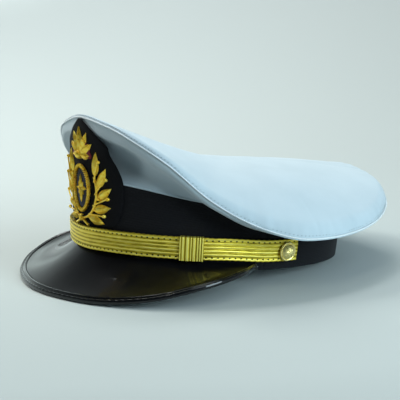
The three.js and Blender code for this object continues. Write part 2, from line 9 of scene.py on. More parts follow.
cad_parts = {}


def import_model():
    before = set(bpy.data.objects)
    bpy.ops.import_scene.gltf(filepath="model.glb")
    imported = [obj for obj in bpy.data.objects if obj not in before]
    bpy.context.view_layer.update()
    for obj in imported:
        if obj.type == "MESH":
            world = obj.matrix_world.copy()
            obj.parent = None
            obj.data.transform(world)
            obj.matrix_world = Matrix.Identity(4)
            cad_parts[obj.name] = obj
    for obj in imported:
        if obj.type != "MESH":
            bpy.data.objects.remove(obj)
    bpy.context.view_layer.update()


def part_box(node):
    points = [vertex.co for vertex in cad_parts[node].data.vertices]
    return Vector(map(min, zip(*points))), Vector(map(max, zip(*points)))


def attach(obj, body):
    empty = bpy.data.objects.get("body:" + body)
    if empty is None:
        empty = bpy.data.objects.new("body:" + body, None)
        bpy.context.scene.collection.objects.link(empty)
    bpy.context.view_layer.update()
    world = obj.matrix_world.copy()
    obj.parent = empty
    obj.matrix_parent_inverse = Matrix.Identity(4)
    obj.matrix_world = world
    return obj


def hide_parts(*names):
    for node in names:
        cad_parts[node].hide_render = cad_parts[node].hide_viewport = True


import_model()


def table(columns, *rows):
    """A short table as a dictionary of columns."""
    return dict(zip(columns.split(), np.array(rows, float).T))


# Driving dimensions, in millimetres and degrees, the same as the solids'

GAP = 0.3
HALF_LENGTH, HALF_WIDTH = 103.0, 86.0

BAND_THICKNESS, BAND_FLARE = 2.5, 0.08
BAND_TOP = table(
    "bearing height",
    (0, 57), (30, 54), (60, 46), (90, 39), (130, 37), (180, 40),
)
BAND_SEAM = 84.0

CLOTH = 1.6
STRIP, STRIP_BULGE = 8.0, 1.4
SLACK = 0.35
MIDDLE_BACK, MIDDLE_HEIGHT = 16.4, 69.0
CROWN_SEAM = table(
    "bearing reach height tuck bulge hollow taut roll",
    (0, 9, 98.6, 4, 0, 0, 1, 2.5),
    (18, 10, 94.2, 7, 0.1, 2.5, 1, 2.7),
    (30, 15, 88, 14, 0.6, 6.5, 0.9, 3.5),
    (45, 20.2, 74, 26, 0.8, 6.5, 0.6, 4.2),
    (60, 20.6, 51, 50, 0.6, 3, 0.25, 5),
    (75, 26.7, 35, 85, 0.1, 0, 0.1, 5.5),
    (90, 35.3, 27.4, 90, 0, 0, 0, 6),
    (120, 36.2, 33.2, 90, 0, 0, 0.3, 6.6),
    (150, 34.5, 47.2, 84, 0.2, 1, 0.35, 7.6),
    (180, 29.2, 55.8, 75, 0.4, 2, 0.3, 8.3),
)
PUCKERS = table(
    "bearing spread depth",
    (166, 7, 1.6), (184, 7, 2.2), (204, 8, 1.6),
)
PUCKER_SWELL = 6.0

PEAK_THICKNESS, PEAK_END, PEAK_STEPS, PEAK_SAG = 2.0, 80.0, 44, 1.8
PEAK_INNER, PEAK_INNER_END = 7.0, 5.5
PEAK_EDGE = table(
    "bearing reach height",
    (0, 41, -21.4), (15, 41, -21), (30, 43, -18.8), (45, 44, -12.8), (60, 38, -3), (72, 22, 2.6), (80, 6.5, 3),
)
RIM_WIDTH, RIM_END_WIDTH = 6.0, 4.0
RIM_UNDERSIDE, RIM_GROOVE, RIM_RIDGE, RIM_EDGE = -2.4, 0.0, 1.0, -1.0

STRAP_WIDTH, STRAP_HEIGHT, STRAP_THICKNESS = 15.4, 15.6, 1.0
STRAP_RIB, STRAP_RIB_PITCH, STRAP_RIBS = 0.4, 2.6, (-3.9, -1.3, 1.3, 3.9)
STRAP_INNER, STRAP_OUTER, STRAP_END = 1.5, 3.2, 98.5
STRAP_TUCK = (62.0, 78.0)
KEEPER_BEARING, KEEPER_HALF, KEEPER_WALL, KEEPER_CLEAR = 54.2, 4.6, 0.8, 2.0
KEEPER_RIBS = table(
    "at half rise",
    (0.04, 0.04, 0.4), (0.16, 0.08, 0.7), (0.34, 0.1, 0.8), (0.48, 0.04, 0.4),
    (0.61, 0.09, 0.8), (0.75, 0.05, 0.5), (0.85, 0.05, 0.5), (0.95, 0.05, 0.6),
)
BUTTON_BEARING, BUTTON_DROP, BUTTON_RADIUS = 94.0, 1.6, 6.5

PATCH_THICKNESS, PATCH_STANDOFF, PATCH_LEAN = 1.2, 0.8, 0.04
PATCH_ROWS = table(
    "height half_width",
    (25, 30), (30, 36), (42, 39.5), (55, 40), (60.5, 39), (67.5, 35.5), (75, 30), (83, 28.5),
    (88, 26), (91, 19.5), (94.5, 11), (98, 2),
)
BADGE_BACK = PATCH_THICKNESS + GAP
MEDALLION_UP, MEDALLION_HALF_WIDTH, MEDALLION_HALF_HEIGHT = 49.0, 8.6, 14.0
MEDALLION_THICKNESS = 1.0
CORD_RADIUS, CORD_LOBE = 1.5, 0.35
STAR_LONG, STAR_SHORT, STAR_STRETCH = 7.2, 4.6, 1.4
PALMETTE_UP, PALMETTE_HEART = 72.5, 3.4
PALMETTE_PETALS = table(
    "turn length width",
    (0, 20, 7.6), (30, 18.5, 7.4), (60, 17, 7.2), (90, 12.5, 6.4),
)
SPRAY_FROM, SPRAY_TO, SPRAY_FIRST_LEAF, SPRAY_LEAVES = -82.0, 28.0, -66.0, 5
SPRAY_HALF_WIDTH, SPRAY_HALF_HEIGHT, STEM_RADIUS = 18.5, 21.0, 0.9
LEAF_LENGTH, LEAF_WIDTH, LEAF_RISE, LEAF_SPLAY = 17.0, 8.6, 2.2, 36.0


# Places on the cap


def column(rows, name, bearing):
    """A table's column at some bearings, the same on both sides: smooth through the rows, level at both ends."""
    knots, values = rows["bearing"], rows[name]
    slopes = np.zeros(len(knots))
    slopes[1:-1] = (values[2:] - values[:-2]) / (knots[2:] - knots[:-2])
    at = np.minimum(np.abs(bearing), knots[-1])
    right = np.clip(np.searchsorted(knots, at), 1, len(knots) - 1)
    width = knots[right] - knots[right - 1]
    t = (at - knots[right - 1]) / width
    start = values[right - 1] * (1 + 2 * t) + slopes[right - 1] * width * t
    end = values[right] * (3 - 2 * t) - slopes[right] * width * (1 - t)
    return start * (1 - t) ** 2 + end * t * t


def cap_point(bearing, reach, height):
    """Points from their bearings, their reach out from the band's foot and their heights above it."""
    angle = np.radians(bearing)
    x = (HALF_WIDTH + reach) * np.sin(angle)
    y = -(HALF_LENGTH + reach) * np.cos(angle)
    return np.stack(np.broadcast_arrays(x, y, height), -1)


def band_face(height):
    """The reach of the band's outer face at a height."""
    return BAND_FLARE * height


def front_point(across, up, out):
    """Points on the cap's front: across to the wearer's left, up, and out from the band's face."""
    lean = PATCH_LEAN * np.maximum(0, up - BAND_TOP["height"][0])
    reach = band_face(up) + PATCH_STANDOFF + lean + out
    bearing = np.degrees(across / (HALF_WIDTH + reach))
    return cap_point(bearing, reach, up)


def peak_at(bearing):
    """The peak's section: where its plate starts on the band, its edge, its direction and the rim's width."""
    share = np.abs(bearing) / PEAK_END
    inner_height = PEAK_INNER + (PEAK_INNER_END - PEAK_INNER) * share
    inner = np.stack([band_face(inner_height) + GAP, inner_height], -1)
    edge = np.stack([column(PEAK_EDGE, "reach", bearing), column(PEAK_EDGE, "height", bearing)], -1)
    along = (edge - inner) / np.linalg.norm(edge - inner, axis=-1, keepdims=True)
    rim_width = RIM_WIDTH + (RIM_END_WIDTH - RIM_WIDTH) * share ** 4
    above = np.stack([-along[:, 1], along[:, 0]], -1)
    return inner, edge, along, above, rim_width


def lean_angle():
    """How far the cap leans back until the peak's edge and the back of the band both touch the surface."""
    bearings = np.linspace(-PEAK_END, PEAK_END, PEAK_STEPS + 1)
    _, edge, along, above, rim_width = peak_at(bearings)
    angles = []
    for share, height in ((0, RIM_UNDERSIDE), (0.85, RIM_UNDERSIDE), (1, RIM_EDGE)):
        spot = edge + along * ((share - 1) * rim_width)[:, None] + above * height
        points = cap_point(bearings, spot[:, 0], spot[:, 1])
        angles.append(np.arctan2(-points[:, 2], HALF_LENGTH - points[:, 1]))
    return float(np.max(angles))


LEAN = lean_angle()
BAND_BACK = HALF_LENGTH + band_face(BAND_TOP["height"][-1])
BAND_BACK_AT = BAND_BACK * math.cos(LEAN) + BAND_TOP["height"][-1] * math.sin(LEAN)
SHIFT_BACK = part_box("band")[1].y * 1000 - BAND_BACK_AT
SHIFT_UP = HALF_LENGTH * math.sin(LEAN)


def world(points):
    """Points of the level cap, in millimetres, as metres in the frame, where the cap leans back."""
    x, y, z = np.moveaxis(np.asarray(points, float), -1, 0)
    back = y * math.cos(LEAN) + z * math.sin(LEAN) + SHIFT_BACK
    up = -y * math.sin(LEAN) + z * math.cos(LEAN) + SHIFT_UP
    return np.stack([x, back, up], -1) / 1000


# Meshes


def piece(name, points, faces, material, corners=None, sharp=50):
    """A mesh that rides on the cap. corners gives each face's texture places, in millimetres of its cloth."""
    mesh = bpy.data.meshes.new(name)
    mesh.from_pydata(world(points).reshape(-1, 3).tolist(), [], faces)
    if corners is not None:
        layer = mesh.uv_layers.new(name="lay")
        layer.uv.foreach_set("vector", np.asarray(corners, np.float32).ravel())
    mesh.shade_smooth()
    mesh.set_sharp_from_angle(angle=math.radians(sharp))
    mesh.materials.append(material)
    made = bpy.data.objects.new(name, mesh)
    bpy.context.scene.collection.objects.link(made)
    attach(made, "root")
    return made


def loft_faces(count, size, closed):
    """Quads through rings of points, with strips of quads over the ends of an open run, as ring and point numbers."""
    step, i = np.meshgrid(np.arange(count if closed else count - 1), np.arange(size), indexing="ij")
    step, i = step.ravel(), i.ravel()
    faces = np.stack([np.stack([step, i], -1), np.stack([step + 1, i], -1),
                      np.stack([step + 1, i + 1], -1), np.stack([step, i + 1], -1)], 1)
    if closed:
        return faces
    k = np.arange(size // 2 - 1)
    strip = np.stack([k, k + 1, size - 2 - k, size - 1 - k], -1)
    first = np.stack([np.zeros_like(strip), strip], -1)
    last = np.stack([np.full_like(strip, count - 1), strip[:, ::-1]], -1)
    return np.concatenate([faces, first, last])


def loft(name, rings, material, closed=False, lay=None, sharp=50, turned=False):
    """A closed mesh through rings of points. lay is the texture place along the rings and across each."""
    count, size = rings.shape[:2]
    corner = loft_faces(count, size, closed)
    faces = (corner[..., 0] % count) * size + corner[..., 1] % size
    corners = None
    if lay is not None:
        along, across = lay
        corners = np.stack([along[corner[..., 0]], across[corner[..., 1]]], -1)
        if turned:
            corners = corners[..., ::-1]
    return piece(name, rings, faces.tolist(), material, corners, sharp)


def gathered(name, parts, material, sharp=50):
    """One mesh from many small closed lofts, each an array of rings."""
    points, faces, start = [], [], 0
    for rings in parts:
        count, size = rings.shape[:2]
        corner = loft_faces(count, size, False)
        faces.extend((start + corner[..., 0] * size + corner[..., 1] % size).tolist())
        points.append(rings.reshape(-1, 3))
        start += count * size
    return piece(name, np.concatenate(points), faces, material, None, sharp)


def sheet_rings(line, thickness):
    """Rings of a sheet: its section lines, then the same lines moved to their left by its thickness."""
    along = np.gradient(line, axis=1)
    along /= np.linalg.norm(along, axis=-1, keepdims=True)
    moved = line + thickness * np.stack([-along[..., 1], along[..., 0]], -1)
    return np.concatenate([line, moved[:, ::-1]], axis=1)


def lay_across(line):
    """Texture places across a sheet's ring, from the lengths along its first section line."""
    steps = np.linalg.norm(np.diff(line[0], axis=0), axis=-1)
    out = np.concatenate([[0], np.cumsum(steps)])
    return np.concatenate([out, out[::-1], out[:1]])


def lay_round(points):
    """Texture places along a run of points, from the lengths between them."""
    steps = np.linalg.norm(np.diff(points, axis=0), axis=-1)
    return np.concatenate([[0], np.cumsum(steps)])


def tube_rings(path, radius, sides=10, up=(0, 0, 1)):
    """Rings of a round tube along an open path. radius is one number or one for each point."""
    along = np.gradient(path, axis=0)
    along /= np.linalg.norm(along, axis=-1, keepdims=True)
    side = np.cross(along, up)
    side /= np.linalg.norm(side, axis=-1, keepdims=True)
    over = np.cross(side, along)
    angle = np.linspace(0, 2 * math.pi, sides, endpoint=False)
    radius = np.broadcast_to(radius, len(path))[:, None, None]
    spoke = np.cos(angle)[None, :, None] * side[:, None] + np.sin(angle)[None, :, None] * over[:, None]
    return path[:, None] + radius * spoke


def grain_rings(middle, along, out, length, width, rise, sides=8, steps=7):
    """Rings of one stitch: a small pad that lies along a seam and swells out from it."""
    along = along / np.linalg.norm(along)
    out = out - along * (out @ along)
    out = out / np.linalg.norm(out)
    side = np.cross(along, out)
    at = -np.cos(np.linspace(0.12, math.pi - 0.12, steps))
    swell = np.sqrt(1 - at ** 2)
    angle = np.linspace(0, 2 * math.pi, sides, endpoint=False)
    spoke = (np.cos(angle)[None, :, None] * side * width / 2 + np.sin(angle)[None, :, None] * out * rise)
    return middle + (at * length / 2)[:, None, None] * along + swell[:, None, None] * spoke


def smooth_lines(line, times):
    """Section lines with their inner points eased towards their neighbours."""
    line = line.copy()
    for _ in range(times):
        line[:, 1:-1] = (line[:, :-2] + 2 * line[:, 1:-1] + line[:, 2:]) / 4
    return line


# Materials


class Shader:
    """A node material under construction, with its principled shader."""

    def __init__(self, name, **settings):
        self.material = bpy.data.materials.new(name)
        self.material.use_nodes = True
        self.tree = self.material.node_tree
        self.surface = self.tree.nodes["Principled BSDF"]
        for socket, value in settings.items():
            self.surface.inputs[socket.replace("_", " ")].default_value = value

    def add(self, kind, inputs=None, **settings):
        made = self.tree.nodes.new("ShaderNode" + kind)
        for key, value in settings.items():
            setattr(made, key, value)
        for key, value in (inputs or {}).items():
            if isinstance(value, bpy.types.NodeSocket):
                self.tree.links.new(value, made.inputs[key])
            else:
                made.inputs[key].default_value = value
        return made

    def link(self, socket, value):
        self.tree.links.new(value, self.surface.inputs[socket])

    def places(self, scale=(1, 1, 1), cloth=False):
        """Texture places: millimetres of the cloth's own lay, or of the cap's frame."""
        if cloth:
            start = self.add("UVMap", uv_map="lay").outputs["UV"]
        else:
            start = self.add("TexCoord").outputs["Object"]
            scale = tuple(1000 * s for s in scale)
        return self.add("Mapping", {"Vector": start, "Scale": scale}).outputs["Vector"]

    def noise(self, places, scale, detail=3.0, roughness=0.55):
        made = self.add("TexNoise", {"Vector": places, "Scale": scale, "Detail": detail, "Roughness": roughness})
        return made.outputs["Fac"]

    def wave(self, places, direction, scale, distortion=0.0):
        made = self.add(
            "TexWave",
            {"Vector": places, "Scale": scale, "Distortion": distortion, "Detail": 1.0, "Detail Scale": 2.0},
            bands_direction=direction,
        )
        return made.outputs["Fac"]

    def ramp(self, value, *stops):
        made = self.add("ValToRGB", {"Fac": value})
        steps = made.color_ramp.elements
        while len(steps) < len(stops):
            steps.new(0.5)
        for step, (position, colour) in zip(steps, stops):
            step.position = position
            step.color = (*colour, 1)
        return made.outputs["Color"]

    def math(self, operation, a, b):
        return self.add("Math", {0: a, 1: b}, operation=operation).outputs["Value"]

    def bump(self, height, strength, distance):
        made = self.add("Bump", {"Height": height, "Strength": strength, "Distance": distance / 1000})
        self.link("Normal", made.outputs["Normal"])


def weave_height(shader, places, pitch):
    """A plain weave: threads one way over threads the other way, pitch millimetres apart."""
    scale = math.tau / 20 / pitch * 1.0
    warp = shader.wave(places, "X", scale, 0.6)
    weft = shader.wave(places, "Y", scale, 0.6)
    return shader.math("MULTIPLY", warp, weft)


def white_cloth():
    shader = Shader("white_cloth", Roughness=0.82, Sheen_Weight=0.25, Sheen_Roughness=0.5, Specular_IOR_Level=0.25)
    cloth, cap = shader.places(cloth=True), shader.places()
    shade = shader.noise(cap, 0.03, 4.0)
    shader.link("Base Color", shader.ramp(shade, (0.3, (0.395, 0.475, 0.53)), (0.7, (0.435, 0.515, 0.57))))
    weave = weave_height(shader, cloth, 0.9)
    slub = shader.noise(cloth, 0.35, 2.0)
    shader.bump(shader.math("ADD", weave, slub), 0.25, 0.12)
    return shader.material


def black_cloth():
    shader = Shader("black_cloth", Roughness=0.85, Sheen_Weight=0.08, Sheen_Roughness=0.4, Specular_IOR_Level=0.2)
    cloth = shader.places(cloth=True)
    fuzz = shader.noise(cloth, 0.8, 4.0)
    shader.link("Base Color", shader.ramp(fuzz, (0.3, (0.003, 0.003, 0.0045)), (0.75, (0.007, 0.007, 0.009))))
    ribs = shader.wave(cloth, "Y", math.tau / 20 / 1.3, 0.3)
    shader.bump(shader.math("ADD", ribs, fuzz), 0.5, 0.2)
    return shader.material


def black_felt():
    shader = Shader("black_felt", Roughness=0.9, Sheen_Weight=0.06, Sheen_Roughness=0.4, Specular_IOR_Level=0.15)
    cap = shader.places()
    fuzz = shader.noise(cap, 1.1, 5.0, 0.7)
    shader.link("Base Color", shader.ramp(fuzz, (0.3, (0.002, 0.002, 0.003)), (0.75, (0.006, 0.006, 0.0075))))
    shader.bump(fuzz, 0.6, 0.25)
    return shader.material


def navy_felt():
    shader = Shader("navy_felt", Roughness=0.9, Sheen_Weight=0.15, Sheen_Roughness=0.4, Specular_IOR_Level=0.2)
    cap = shader.places()
    fuzz = shader.noise(cap, 1.2, 5.0, 0.7)
    shader.link("Base Color", shader.ramp(fuzz, (0.3, (0.012, 0.015, 0.028)), (0.75, (0.03, 0.035, 0.055))))
    shader.bump(fuzz, 0.6, 0.25)
    return shader.material


def red_felt():
    shader = Shader("red_felt", Roughness=0.9, Sheen_Weight=0.2, Sheen_Roughness=0.4, Specular_IOR_Level=0.2)
    fuzz = shader.noise(shader.places(), 1.2, 5.0, 0.7)
    shader.link("Base Color", shader.ramp(fuzz, (0.3, (0.12, 0.012, 0.02)), (0.75, (0.22, 0.03, 0.04))))
    shader.bump(fuzz, 0.6, 0.25)
    return shader.material


def patent_leather(name, gloss, blur):
    """Black lacquered leather. gloss is the index of its lacquer and blur its roughness."""
    shader = Shader(
        name, Roughness=0.35, Specular_IOR_Level=0.06, Coat_Weight=1.0, Coat_Roughness=blur, Coat_IOR=gloss
    )
    cap = shader.places()
    cloud = shader.noise(cap, 0.05, 3.0)
    shader.link("Base Color", shader.ramp(cloud, (0.3, (0.002, 0.002, 0.0025)), (0.75, (0.005, 0.005, 0.006))))
    shader.bump(shader.noise(cap, 0.06, 1.5), 0.1, 0.6)
    return shader.material


def gold_lace(name, rib_pitch, rib_shade_share, weft_share):
    """Woven gold thread with finer threads both ways; its colour is lighter along the ribs as painted highlight and
    darker between them as painted shade.
    """
    shader = Shader(name, Metallic=0.75, Specular_IOR_Level=0.5)
    cloth = shader.places(cloth=True)
    ribs = shader.wave(cloth, "Y", math.tau / 20 / rib_pitch)
    threads = shader.wave(cloth, "Y", math.tau / 20 / 0.55, 0.8)
    weft = shader.wave(cloth, "X", math.tau / 20 / 0.7, 1.2)
    cloud = shader.noise(shader.places(cloth=True, scale=(0.25, 1, 1)), 0.5, 3.0)
    # Painted highlight on the ribs and painted shade between them, mixed with a random cloud of tone.
    painted_rib_shade_and_cloud = shader.math("ADD", shader.math("MULTIPLY", ribs, rib_shade_share), shader.math("MULTIPLY", cloud, 1 - rib_shade_share))
    shader.link(
        "Base Color",
        shader.ramp(painted_rib_shade_and_cloud, (0.25, (0.34, 0.25, 0.012)), (0.5, (0.95, 0.73, 0.06)), (0.8, (1.0, 0.9, 0.22))),
    )
    shader.link("Roughness", shader.ramp(cloud, (0.3, (0.3,) * 3), (0.7, (0.5,) * 3)))
    shader.bump(shader.math("ADD", threads, shader.math("MULTIPLY", weft, weft_share)), 0.5, 0.14)
    return shader.material


def gold_wire():
    shader = Shader("gold_wire", Metallic=0.62, Specular_IOR_Level=0.5)
    cap = shader.places()
    cloud = shader.noise(cap, 0.35, 3.0)
    shader.link(
        "Base Color",
        shader.ramp(cloud, (0.3, (0.8, 0.42, 0.02)), (0.5, (1.0, 0.7, 0.06)), (0.75, (1.0, 0.86, 0.2))),
    )
    shader.link("Roughness", shader.ramp(cloud, (0.3, (0.26,) * 3), (0.7, (0.42,) * 3)))
    shader.bump(shader.noise(cap, 2.5, 2.0), 0.3, 0.1)
    return shader.material


def gilt():
    shader = Shader("gilt", Metallic=0.8)
    cap = shader.places()
    cloud = shader.noise(cap, 0.6, 3.0)
    shader.link("Base Color", shader.ramp(cloud, (0.3, (1.0, 0.76, 0.24)), (0.7, (1.0, 0.89, 0.4))))
    shader.link("Roughness", shader.ramp(cloud, (0.3, (0.24,) * 3), (0.7, (0.4,) * 3)))
    shader.bump(shader.noise(cap, 1.5, 2.0), 0.15, 0.1)
    return shader.material


def thread(name, dark, light, roughness):
    shader = Shader(name, Roughness=roughness, Specular_IOR_Level=0.15)
    twist = shader.wave(shader.places(), "DIAGONAL", 0.7, 1.0)
    shader.link("Base Color", shader.ramp(twist, (0.2, dark), (0.8, light)))
    shader.bump(twist, 0.4, 0.1)
    return shader.material


WHITE_CLOTH, BLACK_CLOTH, BLACK_FELT = white_cloth(), black_cloth(), black_felt()
NAVY_FELT, RED_FELT = navy_felt(), red_felt()
PATENT = patent_leather("patent_leather", 1.14, 0.07)
PATENT_BINDING = patent_leather("patent_binding", 1.4, 0.04)
GOLD_LACE = gold_lace("gold_lace", STRAP_RIB_PITCH, 0.45, 0.5)
GOLD_CORD = gold_lace("gold_cord", 1.0, 0.75, 0.1)
GOLD_WIRE, GILT = gold_wire(), gilt()
# White thread made lighter than the cloth: a painted highlight along the seam's welt.
WELT_THREAD_PAINTED_HIGHLIGHT = thread("white_thread_painted_highlight", (0.55, 0.6, 0.64), (0.8, 0.85, 0.88), 0.6)
# The seam thread's dark colour is painted shade of the dents along the seam.
SEAM_THREAD_PAINTED_SHADE = thread("seam_thread_painted_shade", (0.2, 0.25, 0.29), (0.3, 0.36, 0.4), 0.7)
LACE_THREAD = thread("lace_thread", (0.012, 0.008, 0.002), (0.05, 0.034, 0.006), 0.9)


# Crown

RING_STEPS = 720
RING = np.linspace(-180, 180, RING_STEPS, endpoint=False)


def ring_lay(bearings):
    """Texture places round the cap, along the band's foot, and back to the start."""
    return lay_round(cap_point(np.append(bearings, bearings[0] + 360), 0, 0))


STRIP_LIP, STRIP_LIP_SPREAD, STRIP_LIP_TURN, STRIP_LIP_CUT = 66.0, 10.0, 22.0, 3.5


def side_lines(bearing):
    """The side wall's section lines, from the band's top edge by the fold to the seam."""
    band_top = column(BAND_TOP, "height", bearing)
    turn_out = np.exp(-(((np.abs(bearing) - STRIP_LIP) / STRIP_LIP_SPREAD) ** 2))
    tuck = np.radians(column(CROWN_SEAM, "tuck", bearing) - STRIP_LIP_TURN * turn_out)
    foot = np.stack([band_face(band_top), band_top + GAP], -1)
    seam_height = column(CROWN_SEAM, "height", bearing) - CLOTH * np.sin(tuck)
    seam = np.stack([column(CROWN_SEAM, "reach", bearing), seam_height], -1)
    down = np.stack([-np.sin(tuck), -np.cos(tuck)], -1)
    out = np.stack([np.cos(tuck), -np.sin(tuck)], -1)
    fold = seam + down * (STRIP - STRIP_LIP_CUT * turn_out)[:, None]
    wall_along = (fold - foot) / np.linalg.norm(fold - foot, axis=-1, keepdims=True)
    wall_in = np.stack([-wall_along[:, 1], wall_along[:, 0]], -1)
    hollow = column(CROWN_SEAM, "hollow", bearing)
    hollow = (hollow + 8.5 * np.exp(-(((np.abs(bearing) - 22.5) / 10) ** 2)))[:, None, None]
    bulge = STRIP_BULGE * column(CROWN_SEAM, "bulge", bearing)[:, None, None]
    t = np.linspace(0, 1, 15)[None, :, None]
    wall = foot[:, None] * (1 - t) + fold[:, None] * t + wall_in[:, None] * hollow * 4 * t * (1 - t)
    t = np.linspace(0, 1, 9)[None, 1:, None]
    strip = fold[:, None] * (1 - t) + seam[:, None] * t + out[:, None] * bulge * 4 * t * (1 - t)
    return smooth_lines(np.concatenate([wall, strip], axis=1), 1)


def crown_side():
    line = side_lines(RING)
    rings = sheet_rings(line, CLOTH)
    rings[:, -1, 1] = np.maximum(rings[:, -1, 1], rings[:, 0, 1])
    points = cap_point(RING[:, None], rings[..., 0], rings[..., 1])
    lay = (ring_lay(RING), lay_across(line))
    made = loft("crown_side_cloth", points, WHITE_CLOTH, closed=True, lay=lay)
    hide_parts("crown_side")
    return made


RIPPLES = table(
    "waves turn height",
    (17, 0.9, 0.18), (29, 3.3, 0.12), (41, 0.4, 0.1), (67, 2.1, 0.1), (89, 4.4, 0.08), (113, 1.3, 0.06),
)
CREASES = table(
    "bearing spread depth",
    (74, 1.6, 0.3), (81, 2.2, 0.35), (93.5, 1.0, 0.8), (160, 1.4, 0.7), (166, 1.2, 1.3), (171, 1.0, 0.9),
    (176.5, 1.2, 1.4), (187, 1.4, 0.8), (196, 1.3, 0.8), (262, 1.6, 0.5), (281, 2.0, 0.4),
)


def dents(rows, bearing):
    """The depths of some dents across the edge, each at its bearing."""
    turn = (bearing[:, None] + 360) % 360
    return (rows["depth"] * np.exp(-(((turn - rows["bearing"]) / rows["spread"]) ** 2))).sum(1)


def seam_ripple(bearing):
    """Small gathers along the seam, deepest at both sides, where the cloth is eased in."""
    turn = np.radians(bearing)[:, None]
    waves = RIPPLES["height"] * np.sin(RIPPLES["waves"] * turn + RIPPLES["turn"])
    gather = 0.5 + 0.9 * np.exp(-(((np.abs(bearing) - 95) / 32) ** 2))
    return waves.sum(1) * gather


def top_fall(share, taut):
    """How far the top has come from its middle's height to its edge's at a share of the way out."""
    straight = (np.hypot(share, SLACK) - SLACK) / (np.hypot(1, SLACK) - SLACK)
    return taut * straight + (1 - taut) * share ** 3


def crown_top():
    middle = np.array([0, MIDDLE_BACK])
    reach = column(CROWN_SEAM, "reach", RING)
    spoke = cap_point(RING, reach, 0)[:, :2] - middle
    length = np.linalg.norm(spoke, axis=-1)
    spoke /= length[:, None]
    seam = column(CROWN_SEAM, "height", RING) + GAP
    taut = column(CROWN_SEAM, "taut", RING)
    roll = column(CROWN_SEAM, "roll", RING)[:, None]
    turn = np.radians(np.linspace(0, 90, 10))[None]
    flat = np.linspace(0.004, 1, 30)[None, :-1]
    share = np.concatenate([
        flat * (1 - roll / length[:, None]),
        1 - roll * (1 - np.sin(turn)) / length[:, None],
    ], axis=1)
    rise = (seam[:, None] + roll - MIDDLE_HEIGHT) * top_fall(share, taut[:, None])
    pucker = dents(PUCKERS, RING)[:, None] * PUCKER_SWELL * share ** 3 * (1 - share)
    drop = np.concatenate([0 * flat * roll, roll * (1 - np.cos(turn))], axis=1)
    line = np.stack([share * length[:, None], MIDDLE_HEIGHT + rise - pucker - drop], -1)[:, ::-1]
    inwards = np.gradient(line, axis=1)
    inwards = np.stack([-inwards[..., 1], inwards[..., 0]], -1) / np.linalg.norm(inwards, axis=-1, keepdims=True)
    from_edge = (1 - share[:, ::-1]) * length[:, None]
    deep = seam_ripple(RING)[:, None] * np.exp(-from_edge / 6) + dents(CREASES, RING)[:, None] * np.exp(-from_edge / 12)
    line = line + deep[..., None] * inwards
    line[:, 0] = np.stack([length, seam], -1)
    rings = sheet_rings(line, CLOTH)
    rings[:, -1] = np.stack([length - CLOTH, seam], -1)
    flat_points = middle + spoke[:, None] * rings[..., :1]
    points = np.concatenate([flat_points, rings[..., 1:]], -1)
    lay = (ring_lay(RING), lay_across(line))
    made = loft("crown_top_cloth", points, WHITE_CLOTH, closed=True, lay=lay)
    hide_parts("crown_top")
    return made


STITCH_ABOVE_SEAM = 1.5


def crown_welt():
    """The raised edge where the top panel is sewn to the side wall."""
    reach, height = column(CROWN_SEAM, "reach", RING), column(CROWN_SEAM, "height", RING)
    tuck = np.radians(column(CROWN_SEAM, "tuck", RING))
    angle = np.linspace(0, math.tau, 10, endpoint=False)
    radius = 0.55
    ring_reach = (reach + 0.4)[:, None] + radius * np.cos(angle)
    ring_height = (height - 0.5 * np.sin(tuck) + 0.2)[:, None] + radius * np.sin(angle)
    points = cap_point(RING[:, None], ring_reach, ring_height)
    # The welt's thread is lighter than the cloth, a painted highlight along the seam.
    return loft("crown_welt", points, WELT_THREAD_PAINTED_HIGHLIGHT, closed=True)


def crown_stitches():
    """A row of small stitches on the rolled edge of the top, just above the seam, coloured dark as painted shade of the
    small dents they pull in the cloth.
    """
    bearings = np.linspace(-180, 180, 300, endpoint=False)
    roll = column(CROWN_SEAM, "roll", bearings)
    turn = STITCH_ABOVE_SEAM / roll
    reach = column(CROWN_SEAM, "reach", bearings) - roll * (1 - np.cos(turn))
    height = column(CROWN_SEAM, "height", bearings) + GAP + roll * np.sin(turn)
    here = cap_point(bearings, reach, height)
    ahead = cap_point(bearings + 0.4, reach, height)
    over = cap_point(bearings, reach + np.cos(turn), height + np.sin(turn))
    parts = [grain_rings(h, a - h, o - h, 1.2, 0.6, 0.25, 6, 5) for h, a, o in zip(here, ahead, over)]
    return gathered("crown_seam_stitches", parts, SEAM_THREAD_PAINTED_SHADE)


def crown_hem():
    """The thin turned edge of the side wall where it meets the band."""
    band_top = column(BAND_TOP, "height", RING)
    angle = np.linspace(0, math.tau, 8, endpoint=False)
    radius = 0.5
    ring_reach = (band_face(band_top) + 0.15)[:, None] + radius * np.cos(angle)
    ring_height = (band_top + GAP + 0.6)[:, None] + radius * np.sin(angle)
    points = cap_point(RING[:, None], ring_reach, ring_height)
    lay = (ring_lay(RING), np.linspace(0, math.tau * radius, len(angle) + 1))
    return loft("crown_hem", points, WHITE_CLOTH, closed=True, lay=lay)


crown_side_cloth, crown_top_cloth = crown_side(), crown_top()
welt, hem, stitches = crown_welt(), crown_hem(), crown_stitches()


# Band


def band():
    top = column(BAND_TOP, "height", RING)
    share = np.linspace(0, 1, 30)[None]
    groove = 0.35 * np.exp(-(((np.abs(RING) - BAND_SEAM) / 0.35) ** 2))[:, None]
    height = top[:, None] * share
    face = np.stack([band_face(height) - groove, height], -1)
    back = np.stack([band_face(height) - BAND_THICKNESS, height], -1)[:, ::-1]
    rings = np.concatenate([face, back], axis=1)
    points = cap_point(RING[:, None], rings[..., 0], rings[..., 1])
    lay = (ring_lay(RING), lay_across(face))
    made = loft("band_cloth", points, BLACK_CLOTH, closed=True, lay=lay)
    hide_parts("band")


band()


# Peak

PEAK_BEARINGS = np.linspace(-PEAK_END, PEAK_END, 481)


